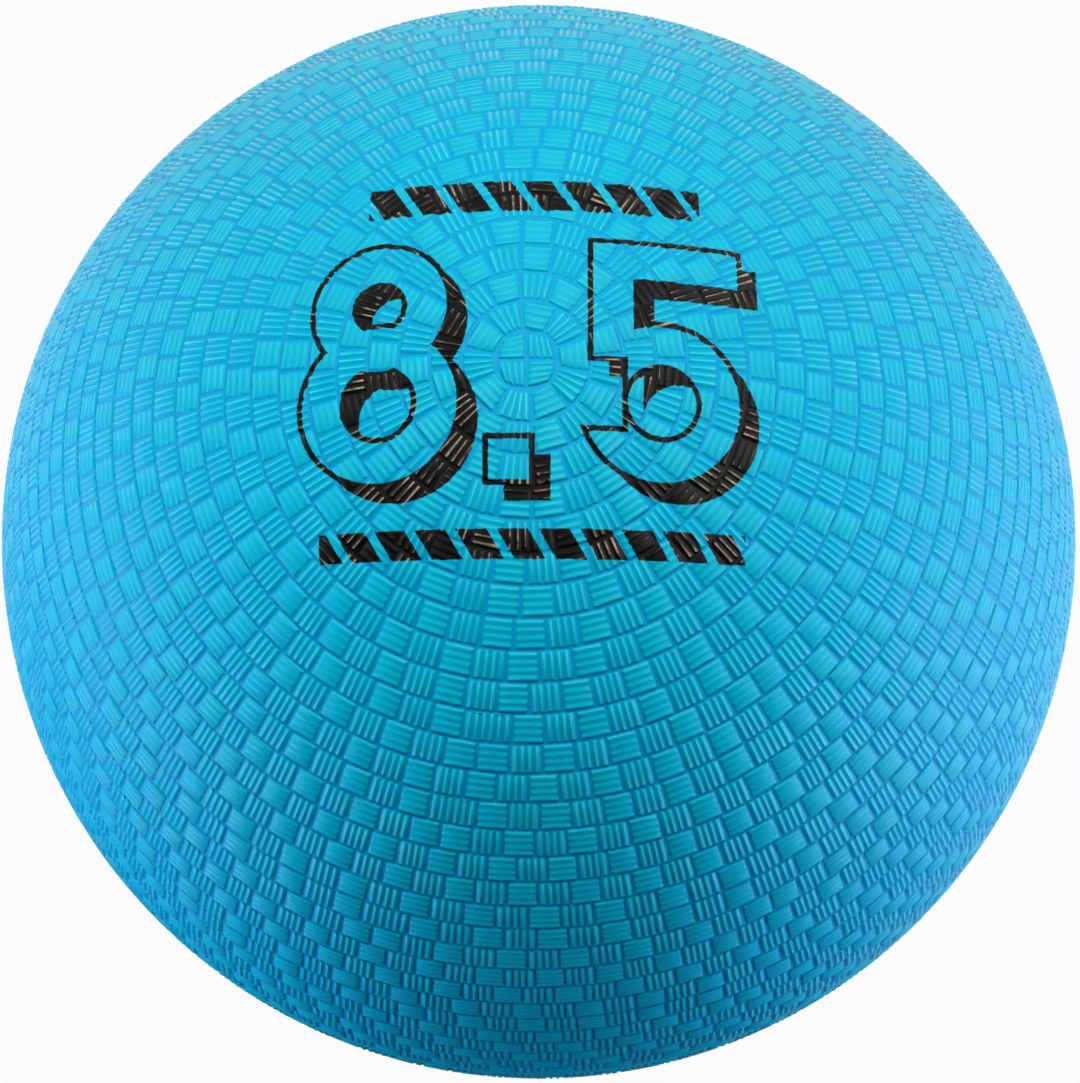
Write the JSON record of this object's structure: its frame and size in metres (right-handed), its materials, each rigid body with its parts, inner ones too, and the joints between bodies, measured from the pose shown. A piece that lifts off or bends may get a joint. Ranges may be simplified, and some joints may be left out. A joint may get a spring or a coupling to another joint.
{
  "type": "dodgeball",
  "caption": "Inflatable rubber playground ball for dodgeball, with a moulded basket-weave grip in rings, a wound carcass and a needle valve.",
  "frame": {"origin": "centre of the ball", "axes": "+Z along the moulding axis, out of the printed side; -Z out of the inflation valve; X and Y in the plane of the cover's joint"},
  "size_m": [0.2159, 0.2158, 0.2158],
  "materials": {
    "cover_rubber": "satin",
    "ply_rubber": "matte",
    "nylon_thread": "satin",
    "patch_cloth": "matte",
    "butyl": "satin",
    "boot_rubber": "satin",
    "core_rubber": "matte"
  },
  "bodies": {
    "root": {"cover_top": "cover_rubber", "cover_bottom": "cover_rubber", "ply_top": "ply_rubber", "ply_bottom": "ply_rubber", "winding": "nylon_thread", "valve_patch": "patch_cloth", "bladder": "butyl", "valve_boot": "boot_rubber", "valve_core": "core_rubber"}
  },
  "joints": []
}
